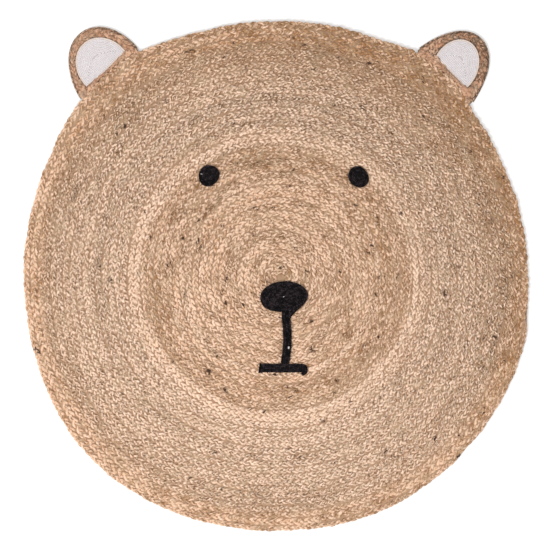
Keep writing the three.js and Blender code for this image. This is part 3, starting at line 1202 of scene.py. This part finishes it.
    def _rim(self, rng: Random) -> Piece:
        """Makes the rim: an outer cord and a flat braid over the arch, and a braid along its base."""
        dye = self.rim_dye
        outer, inner = self.outer_arch(), self.patch_arch(self.gap)
        top_share = np.sin(math.pi * np.linspace(0, 1, len(outer))) ** dye.top_power
        tone = dye.feet + (dye.top - dye.feet) * top_share
        strands = [self._cord(rng, outer, inner), *self._braided(rng, outer, inner, tone, self.braid_inset)]
        outer_base = self.outer_base(outer)
        share = np.linspace(0, 1, self.base_steps + 1)[:, None]
        inner_base = inner[-1] + (inner[0] - inner[-1]) * share
        strip = outer_base - inner_base
        breadth = np.linalg.norm(strip, axis=1, keepdims=True)
        outer_base = outer_base + strip * (self.base_growth + self.base_overlap / breadth)
        strands += self._braided(rng, outer_base, inner_base, np.full(len(outer_base), dye.base), 0.0)
        rim = sweep(f"ear_rim_{self.side}_braid", strands, self.braid.sides)
        return dress(rim, EAR_JUTE, f"ear_rim_{self.side}")

    def _patch(self, rng: Random) -> list[Piece]:
        """Makes the white patch: its ground cloth, and the rows sewn over it."""
        node = f"ear_patch_{self.side}"
        inset = self.cloth_inset
        cloth = plate(f"{node}_cloth", self.patch_line(-inset), self.cloth_bottom, self.cloth_top, inset)
        dress(cloth, WHITE_COTTON, node)
        rows = []
        inset = self.rows.pitch / 2
        depth = self.patch.reach + self.patch.height - self.base_reach
        while inset < depth / 2 - self.rows.pitch / 2:
            warmth = 0.0 if rows else self.outer_row_warmth
            height = self.cloth_top - self.crown + self.crown * math.sin(math.pi * inset / depth)
            rows.append(self.rows.strand(rng, self.patch_line(-inset), height, True, warmth))
            inset += self.rows.pitch
        sewn = sweep(f"{node}_rows", rows, self.rows.sides)
        dress(sewn, WHITE_COTTON, node)
        x, y = self.patch_line(0).T
        return [cloth, sewn]

    def build(self) -> list[Piece]:
        """Builds the ear and returns its pieces."""
        rng = np.random.default_rng(self.seed)
        return [self._rim(rng), *self._patch(rng)]


# The face


@dataclass(frozen=True)
class Applique:
    """How the black pieces lie on the braid: a thin ground and rows of stitches over it."""

    bottom: float = 0.0079
    ground_top: float = 0.0092
    row_height: float = 0.0094
    ground_inset: float = 0.0007
    ground_rounding: float = 0.0004
    rows: SewnRow = SewnRow(tone=0.12, tone_spread=0.44)

    def build(
        self,
        node: str,
        outline: Array,
        lines: Sequence[tuple[Array, bool]],
        rng: Random,
        specks: Sequence[Place] = (),
    ) -> list[Piece]:
        """Builds a black piece.

        Args:
            node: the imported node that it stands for.
            outline: its outline, counter-clockwise.
            lines: the rows' lines, and whether each is closed.
            rng: the source of random numbers.
            specks: places where a pale thread shows.

        Returns:
            Its ground and its rows.
        """
        heights = (self.bottom, self.ground_top)
        ground = plate(f"{node}_ground", outline, *heights, self.ground_rounding)
        dress(ground, BLACK_COTTON, node)
        rows, height = self.rows, self.row_height
        strands = [rows.strand(rng, line, height, closed, specks=specks) for line, closed in lines]
        sewn = sweep(f"{node}_rows", strands, rows.sides)
        dress(sewn, BLACK_COTTON, node)
        return [ground, sewn]


@dataclass
class Eye:
    """A round eye sewn in rings."""

    side: str
    centre: Place
    radius: float
    waves: tuple[Wave, ...]
    seed: int
    specks: tuple[Place, ...] = ()
    applique: Applique = field(default_factory=Applique)
    least_ring: float = 0.001
    steps: int = 72

    def ring(self, inset: float) -> Array:
        """Returns the eye's outline, drawn in by an inset."""
        angle = np.linspace(0, TURN, self.steps, endpoint=False)
        radius = self.radius - inset + sum(wave.height(angle) for wave in self.waves)
        return np.array(self.centre) + polar(radius, angle)

    def build(self) -> list[Piece]:
        """Builds the eye and returns its pieces."""
        pitch = self.applique.rows.pitch
        insets = np.arange(pitch / 2, self.radius - self.least_ring, pitch)
        lines = [(self.ring(inset), True) for inset in insets]
        outline = self.ring(self.applique.ground_inset)
        rng = np.random.default_rng(self.seed)
        return self.applique.build(f"eye_{self.side}", outline, lines, rng, self.specks)


@dataclass
class Nose:
    """The nose: an oval whose outer rows run on, at its lower right, into the stem.

    Places on the oval are given by their angle in degrees.
    """

    centre: Place = (0.0159, -0.0383)
    half_width: float = 0.0467
    half_height: float = 0.0300
    tilt: float = math.radians(3.8)
    bulge: Bulge = Bulge(222, 0.045, 15)
    stem_width: float = 0.0171
    stem_top: Place = (0.0196, -0.0800)
    stem_middle: Place = (0.0223, -0.1150)
    stem_foot: Place = (0.0175, -0.1693)
    leaves_oval: float = -36
    tangent_span: float = 2
    meets_stem: float = 262
    outline_overrun: float = 4
    outline_points: int = 70
    left_rows: float = 0.35
    left_start: float = 0.004
    foot_clearance: float = 0.0004
    bend_pull: float = 0.4
    bend_push: Place = (0.0035, 0.0065)
    bend_steps: int = 13
    stem_steps: int = 29
    oval_steps: int = 96
    middle_row_points: int = 12
    stem_rows: int = 5
    specks: tuple[Place, ...] = ((0.0152, -0.0377), (0.0246, -0.1372), (0.0250, -0.1392))
    seed: int = 31
    applique: Applique = field(default_factory=Applique)

    def oval(self, degrees: Array | float, inset: float) -> Array:
        """Returns points of the oval, drawn in by an inset."""
        angle = np.radians(degrees)
        full = 1 + self.bulge.rise(angle)
        along = (self.half_width * full - inset) * np.cos(angle)
        over = np.maximum(self.half_height * full - inset, 0) * np.sin(angle)
        x = along * math.cos(self.tilt) - over * math.sin(self.tilt)
        y = along * math.sin(self.tilt) + over * math.cos(self.tilt)
        return np.stack((self.centre[0] + x, self.centre[1] + y), axis=-1)

    def stem_line(self, share: float) -> Array:
        """Returns a line down the stem, at a share of its width from its left side.

        Args:
            share: 0 for its left side, 1 for its right one.

        Returns:
            Its points from the oval to the foot, the right ones starting in the oval's side.
        """
        heights = np.linspace(self.stem_top[1], self.stem_foot[1] + self.foot_clearance, self.stem_steps + 1)
        knots = np.array((self.stem_foot, self.stem_middle, self.stem_top))
        fit = np.polyfit(knots[:, 1], knots[:, 0], 2)
        aside = (share - 0.5) * self.stem_width
        stem = np.column_stack((np.polyval(fit, heights) + aside, heights))
        if share < self.left_rows:
            start = self.centre[1] - self.half_height + self.left_start
            return np.vstack(((stem[0, 0], start), stem))
        inset = (1 - share) * self.stem_width
        start = self.oval(self.leaves_oval, inset)
        tangent = self.oval(self.leaves_oval - self.tangent_span, inset) - start
        reach = np.linalg.norm(stem[0] - start)
        pull = start + tangent / np.linalg.norm(tangent) * reach * self.bend_pull
        push = stem[0] + np.array(self.bend_push)
        t = np.linspace(0, 1, self.bend_steps + 1)[:-1, None]
        bend = (1 - t) ** 3 * start + 3 * t * (1 - t) ** 2 * pull + 3 * t**2 * (1 - t) * push + t**3 * stem[0]
        return np.vstack((bend, stem))

    def build(self) -> list[Piece]:
        """Builds the nose with its stem and returns its pieces."""
        rng = np.random.default_rng(self.seed)
        pitch = self.applique.rows.pitch
        degrees = np.linspace(0, 360, self.oval_steps, endpoint=False)
        insets = np.arange(pitch / 2, self.half_height - pitch / 2, pitch)
        lines = [(self.oval(degrees, inset), True) for inset in insets]
        flat_row = self.half_width - self.half_height
        middle = np.linspace(-flat_row, flat_row, self.middle_row_points)
        turned = np.column_stack((middle * math.cos(self.tilt), middle * math.sin(self.tilt)))
        lines.append((np.array(self.centre) + turned, False))
        shares = (np.arange(self.stem_rows) + 0.5) / self.stem_rows
        lines += [(self.stem_line(share), False) for share in shares]
        inset = self.applique.ground_inset
        right = self.stem_line(1 - inset / self.stem_width)
        left = self.stem_line(inset / self.stem_width)[1:]
        last = self.leaves_oval + self.outline_overrun
        around = self.oval(np.linspace(self.meets_stem, last, self.outline_points), inset)
        outline = np.vstack((around, right, left[::-1]))
        return self.applique.build("nose", outline[::-1], lines, rng, self.specks)


@dataclass
class Mouth:
    """The mouth: a bar with a flared left end, whose right end turns down into a small hook."""

    left: float = -0.0319
    top: float = -0.1697
    bottom: float = -0.1863
    flare: float = 0.0020
    hook_left: float = 0.0500
    hook_width: float = 0.0116
    hook_foot: float = -0.1932
    hook_foot_width: float = 0.0036
    hook_slope: float = 0.9
    hook_end: float = 0.88
    hook_rise: float = 0.003
    corner_power: float = 0.75
    flare_length: float = 0.007
    end_lean: float = 0.0024
    ground_shares: Place = (0.05, 0.95)
    least_drop: float = 0.0004
    bar_steps: int = 49
    corner_steps: int = 9
    row_count: int = 5
    seed: int = 41
    applique: Applique = field(default_factory=Applique)

    def line(self, share: float) -> Array:
        """Returns a line along the bar and down into the hook, at a share of its height from the top."""
        height = (self.top - self.bottom) * (1 - share)
        width = self.hook_width * (1 - share)
        x = np.linspace(self.left, self.hook_left, self.bar_steps + 1)
        ending = 1 - smoothstep(x, self.left, self.left + self.flare_length)
        flare = ending * self.flare * (1 - 2 * share)
        bar = np.column_stack((x - self.end_lean * ending * share, self.bottom + height + flare))
        angle = np.linspace(math.pi / 2, 0, self.corner_steps + 1)[1:]
        round_x = self.hook_left + width * np.abs(np.cos(angle)) ** self.corner_power
        drop = self.hook_rise + (height - self.hook_rise) * np.sin(angle) ** self.corner_power
        turn = np.column_stack((round_x, self.bottom + drop))
        narrow = self.hook_end * width
        foot = self.hook_foot + self.hook_slope * abs(narrow - self.hook_foot_width)
        end = (self.hook_left + narrow, min(foot, self.bottom - self.least_drop))
        return np.vstack((bar, turn, end))

    def build(self) -> list[Piece]:
        """Builds the mouth and returns its pieces."""
        shares = (np.arange(self.row_count) + 0.5) / self.row_count
        lines = [(self.line(share), False) for share in shares]
        upper, lower = (self.line(share) for share in self.ground_shares)
        outline = np.vstack((lower, upper[::-1]))
        return self.applique.build("mouth", outline, lines, np.random.default_rng(self.seed))


# The stage


@dataclass(frozen=True)
class Studio:
    """A pale floor, soft light from above and a camera straight over the rug."""

    camera_at: Triple = (-0.0018, 0.0039, 2.5455)
    lens: float = 85.0
    sensor_width: float = 36.0
    floor_size: float = 12.0
    floor_height: float = -0.0002
    floor_grey: float = 0.96
    floor_roughness: float = 0.9
    sky: float = 0.965
    key_power: float = 52.0
    key_at: Triple = (-1.5, -1.7, 2.4)
    key_size: float = 1.2

    def add_camera(self) -> None:
        """Adds the camera, level over the rug with +Y up the picture."""
        data = bpy.data.cameras.new("camera")
        data.lens = self.lens
        data.sensor_width = self.sensor_width
        camera = bpy.data.objects.new("camera", data)
        camera.location = self.camera_at
        bpy.context.collection.objects.link(camera)
        bpy.context.scene.camera = camera

    def add_light(self) -> None:
        """Adds an even sky and a soft key light from the lower left."""
        scene = bpy.context.scene
        scene.view_settings.view_transform = "Standard"
        scene.world = bpy.data.worlds.new("studio")
        scene.world.use_nodes = True
        background = scene.world.node_tree.nodes["Background"]
        background.inputs["Color"].default_value = (1.0, 1.0, 1.0, 1.0)
        background.inputs["Strength"].default_value = self.sky
        data = bpy.data.lights.new("key", "AREA")
        data.energy = self.key_power
        data.size = self.key_size
        key = bpy.data.objects.new("key", data)
        key.location = self.key_at
        bpy.context.collection.objects.link(key)
        aim = key.constraints.new("TRACK_TO")
        aim.track_axis = "TRACK_NEGATIVE_Z"
        aim.up_axis = "UP_Y"
        target = bpy.data.objects.new("key aim", None)
        bpy.context.collection.objects.link(target)
        aim.target = target

    def add_floor(self) -> None:
        """Adds the floor that the rug lies on."""
        bpy.ops.object.select_all(action="DESELECT")
        bpy.ops.mesh.primitive_plane_add(size=self.floor_size, location=(0, 0, self.floor_height))
        floor = bpy.context.object
        floor.name = "floor"
        material = bpy.data.materials.new("pale floor")
        material.use_nodes = True
        shader = material.node_tree.nodes["Principled BSDF"]
        shader.inputs["Base Color"].default_value = (*[self.floor_grey] * 3, 1.0)
        shader.inputs["Roughness"].default_value = self.floor_roughness
        floor.data.materials.append(material)


def make_ears() -> list[Ear]:
    """Returns the two ears, each with its own sizes."""
    return [
        Ear(
            side="left",
            direction=129.2,
            arch=Arch(reach=0.511, across=-0.002, half_width=0.0735, height=0.101, lean=10),
            patch=Arch(reach=0.5315, across=-0.0005, half_width=0.052, height=0.0612, lean=-1),
            base_reach=0.5235,
            base_slope=0.09,
            rim_dye=RimDye(top=0.80, feet=0.74, cord=0.52),
            seed=21,
        ),
        Ear(
            side="right",
            direction=50.4,
            arch=Arch(reach=0.500, across=0.0035, half_width=0.0735, height=0.117, lean=4),
            patch=Arch(reach=0.5415, across=0.0087, half_width=0.0438, height=0.056, lean=-13),
            base_reach=0.5274,
            base_slope=-0.12,
            rim_dye=RimDye(top=0.36, feet=0.54, cord=0.32),
            seed=22,
        ),
    ]


def make_eyes() -> list[Eye]:
    """Returns the two eyes, each with its own sizes."""
    return [
        Eye(
            side="left",
            centre=(-0.1308, 0.198),
            radius=0.0206,
            waves=(Wave(2, -0.0001, 0.0008), Wave(3, 0.0005, 0.0003)),
            seed=51,
            specks=((-0.1463, 0.2015),),
        ),
        Eye(
            side="right",
            centre=(0.1614, 0.1954),
            radius=0.0203,
            waves=(Wave(2, -0.0003, -0.0015), Wave(3, 0.0001, -0.0003)),
            seed=52,
        ),
    ]


def main() -> None:
    """Builds the rug around its frame, piece by piece."""
    logging.basicConfig(level=logging.INFO, format="%(name)s: %(message)s")
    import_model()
    studio = Studio()
    studio.add_camera()
    studio.add_light()
    studio.add_floor()
    assemblies = [CoiledRound(), *make_ears(), *make_eyes(), Nose(), Mouth()]
    for assembly in assemblies:
        pieces = assembly.build()
        LOG.info("%s: %s", type(assembly).__name__, ", ".join(piece.name for piece in pieces))


if __name__ == "__main__":
    main()
